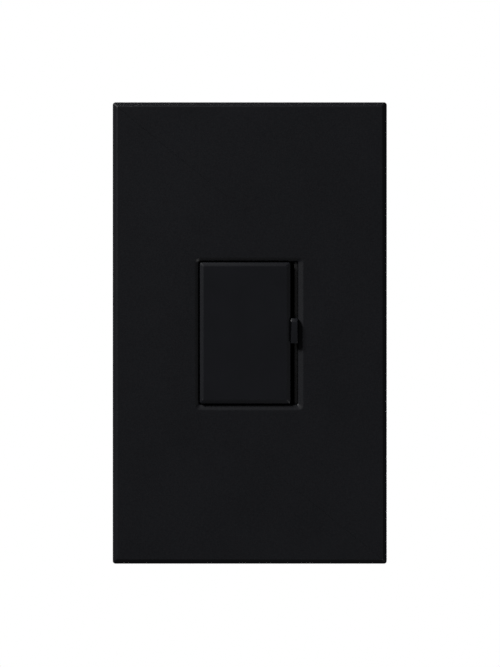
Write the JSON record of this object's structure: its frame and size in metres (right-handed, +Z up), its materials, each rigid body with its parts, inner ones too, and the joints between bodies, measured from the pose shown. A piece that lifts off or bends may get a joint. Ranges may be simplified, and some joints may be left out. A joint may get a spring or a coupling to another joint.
{
  "type": "wall dimmer switch",
  "caption": "Screwless wall dimmer: black cover plate, large tap pad on a hinge, slim slide lever beside it, aluminium yoke and back housing with screw terminals.",
  "frame": {"origin": "middle of the two box screws, on the wall face (the plate's rim and the yoke's back)", "axes": "+X right seen from the room, +Y into the wall, +Z up"},
  "size_m": [0.0698, 0.0385, 0.1176],
  "materials": {
    "black_plastic": "fine matt moulded, near black",
    "black_plastic_pad": "fine satin moulded, near black",
    "frame_plastic": "plain moulded black",
    "housing_plastic": "spark-textured dark thermoset",
    "yoke_aluminium": "stamped sheet with fine rolling lines",
    "zinc_steel": "zinc plated",
    "fibre_washer": "vulcanised fibre sheet",
    "green_steel": "green dyed plating",
    "brass": "stamped brass",
    "bronze": "phosphor bronze spring strip",
    "silver": "silver contact face",
    "spring_wire": "drawn spring wire",
    "white_acetal": "natural acetal",
    "phenolic": "brown phenolic",
    "board_green": "solder-masked glass laminate",
    "tinned_copper": "tinned",
    "copper_wire": "enamelled copper",
    "ferrite": "ferrite ring",
    "yellow_film": "moulded capacitor case",
    "epoxy_black": "moulded epoxy",
    "blue_lacquer": "lacquer",
    "grey_pad": "silicone heat pad"
  },
  "bodies": {
    "frame": {"wall_plate": "black_plastic", "adapter_plate": "frame_plastic", "bezel": "frame_plastic", "back_housing": "housing_plastic", "yoke": "yoke_aluminium", "triac_tab": "yoke_aluminium", "triac_rivet": "yoke_aluminium", "adapter_screws": "zinc_steel", "box_screws": "zinc_steel", "pot_screws": "zinc_steel", "housing_screws": "zinc_steel", "board_screws": "zinc_steel", "pot_frame": "zinc_steel", "contact_pivot_pin": "zinc_steel", "hinge_pin": "zinc_steel", "box_screw_washers": "fibre_washer", "ground_screw": "green_steel", "terminal_plates": "brass", "terminal_clamps": "zinc_steel", "terminal_screws": "brass", "fixed_contact_strip": "brass", "arm_bracket": "brass", "fixed_contact": "silver", "pad_return_springs": "spring_wire", "plunger_spring": "spring_wire", "switch_base": "phenolic", "switch_cover": "phenolic", "switch_shelf": "phenolic", "pot_track_board": "phenolic", "circuit_board": "board_green", "pot_pins": "tinned_copper", "triac_leads": "tinned_copper", "component_leads": "tinned_copper", "choke_winding": "copper_wire", "choke_core": "ferrite", "choke_pad": "grey_pad", "heat_pad": "grey_pad", "filter_capacitor": "yellow_film", "timing_capacitor": "yellow_film", "triac_body": "epoxy_black", "diac": "blue_lacquer", "resistors": "blue_lacquer"},
    "rocker": {"rocker_pad": "black_plastic_pad"},
    "slider": {"slider_knob": "black_plastic_pad", "slider_lever": "zinc_steel", "pot_carriage": "white_acetal", "pot_wipers": "bronze"},
    "plunger": {"plunger": "white_acetal"},
    "contact_arm": {"contact_arm": "bronze", "moving_contact": "silver"}
  },
  "joints": [
    {"name": "rocker_tap", "type": "hinge", "parent": "frame", "child": "rocker", "pos_m": [0, -0.0046, 0.01465], "axis": [1, 0, 0], "range_deg": [0, 3], "stiffness_Nm_per_rad": 0.12, "springref_deg": -14.32, "deforming": ["pad_return_springs"]},
    {"name": "plunger_slide", "type": "slide", "parent": "frame", "child": "plunger", "axis": [0, 1, 0], "range_m": [0, 0.0013], "deforming": ["plunger_spring"]},
    {"name": "contact_swing", "type": "hinge", "parent": "frame", "child": "contact_arm", "pos_m": [-0.005, 0.0087, -0.0182], "axis": [-1, 0, 0], "range_deg": [0, 9.11]},
    {"name": "slider_travel", "type": "slide", "parent": "frame", "child": "slider", "axis": [0, 0, 1], "range_m": [-0.0151, 0.014]}
  ],
  "couplings": [
    {"joint": "plunger_slide", "follows": "rocker_tap", "m_per_rad": 0.02465},
    {"joint": "contact_swing", "follows": "rocker_tap", "ratio": 3.0061}
  ]
}
